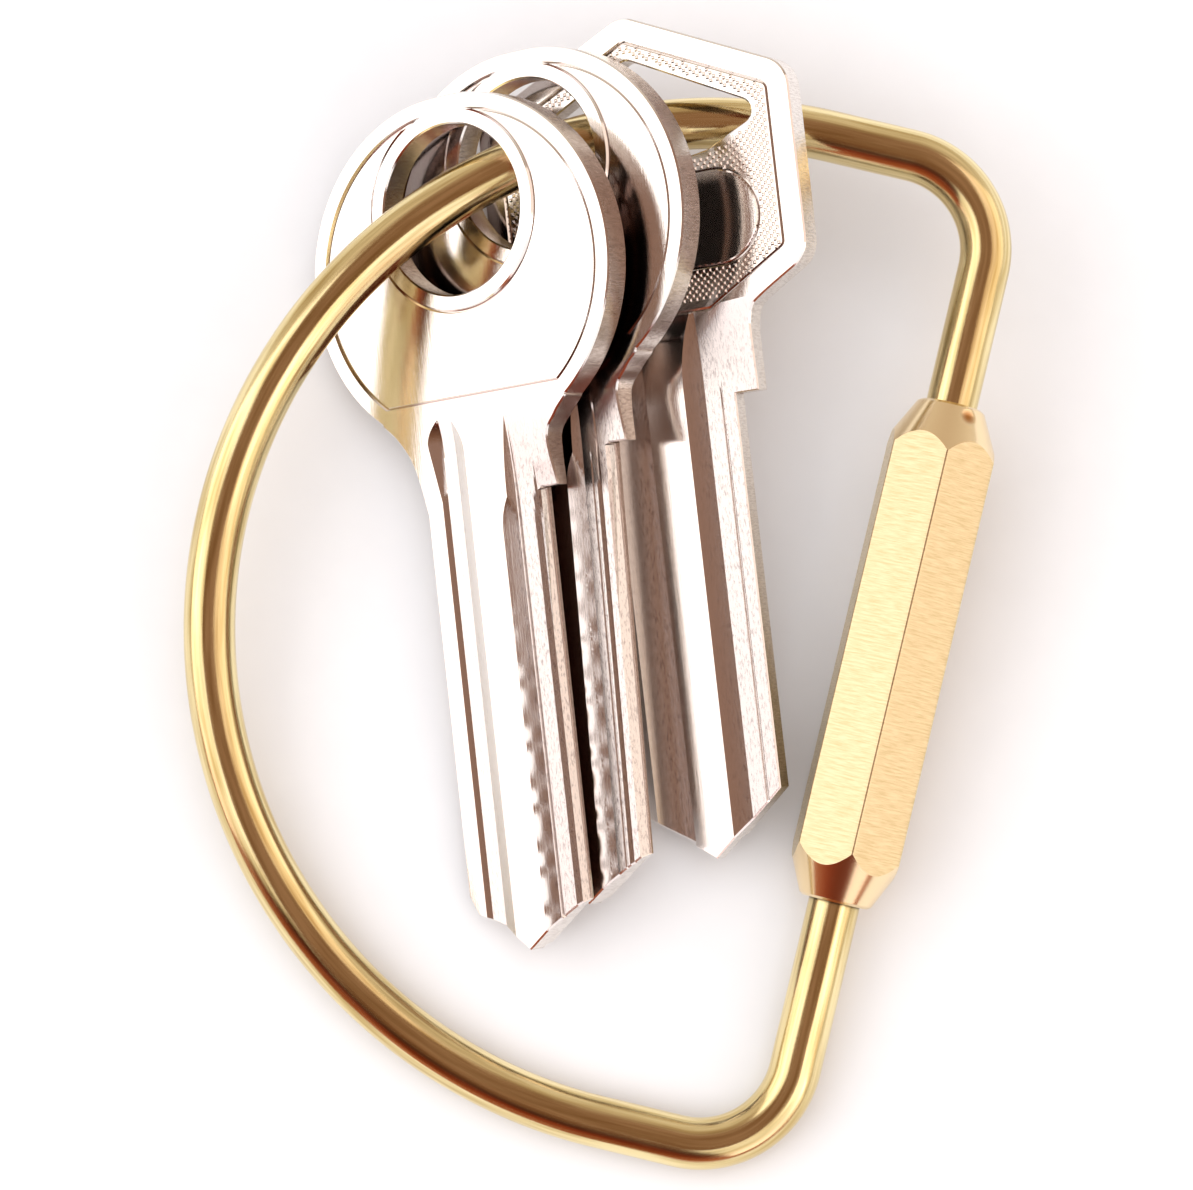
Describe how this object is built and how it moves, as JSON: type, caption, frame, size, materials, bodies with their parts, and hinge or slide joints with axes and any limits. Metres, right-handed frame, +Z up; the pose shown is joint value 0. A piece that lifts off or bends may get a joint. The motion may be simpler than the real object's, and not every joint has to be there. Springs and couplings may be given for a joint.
{
  "type": "belt key ring with keys",
  "caption": "D-shaped belt key ring: a bent brass rod closed by a hexagonal screw sleeve, with flat metal keys hanging on its round side.",
  "frame": {"origin": "on the table, under the middle of the object's bounding box", "axes": "+Z up from the table it lies on; +Y along the straight side of the D, from the end that unscrews to the end that slides; +X from the round side to the sleeve"},
  "size_m": [0.0472, 0.0682, 0.0152],
  "materials": {
    "brass_rod": "drawn, polished and slightly tarnished",
    "brass_turned": "turned",
    "brass_hexagon": "fine brushed flats and turned cones",
    "key_nickel": "bright nickel plate with milled grooves"
  },
  "bodies": {
    "ring": {"ring_wire": "brass_rod"},
    "collar": {"stop_collar": "brass_turned"},
    "sleeve": {"hex_sleeve": "brass_hexagon"},
    "front_key": {"key_front": "key_nickel"},
    "middle_key": {"key_middle": "key_nickel"},
    "back_key": {"key_back": "key_nickel"}
  },
  "joints": [
    {"name": "sleeve_turn", "type": "hinge", "parent": "ring", "child": "collar", "pos_m": [0.02032, -0.00049, 0.00506], "axis": [0.0016, 0.994, 0.1097], "range_deg": [0, 5040]},
    {"name": "sleeve_slide", "type": "slide", "parent": "collar", "child": "sleeve", "axis": [0.0016, 0.994, 0.1097], "range_m": [0, 0.0084]},
    {"name": "front_key_swing", "type": "hinge", "parent": "ring", "child": "front_key", "pos_m": [-0.0121, 0.01987, 0.00804], "axis": [-0.5298, -0.285, 0.7988], "range_deg": [-25, 35]},
    {"name": "middle_key_swing", "type": "hinge", "parent": "ring", "child": "middle_key", "pos_m": [-0.0083, 0.02376, 0.00803], "axis": [-0.5361, -0.2728, 0.7988], "range_deg": [-25, 35]},
    {"name": "back_key_swing", "type": "hinge", "parent": "ring", "child": "back_key", "pos_m": [-0.00288, 0.02836, 0.0084], "axis": [-0.4345, -0.2685, 0.8597], "range_deg": [-15, 0]}
  ],
  "couplings": [
    {"joint": "sleeve_turn", "follows": "sleeve_slide", "rad_per_m": 10472}
  ]
}
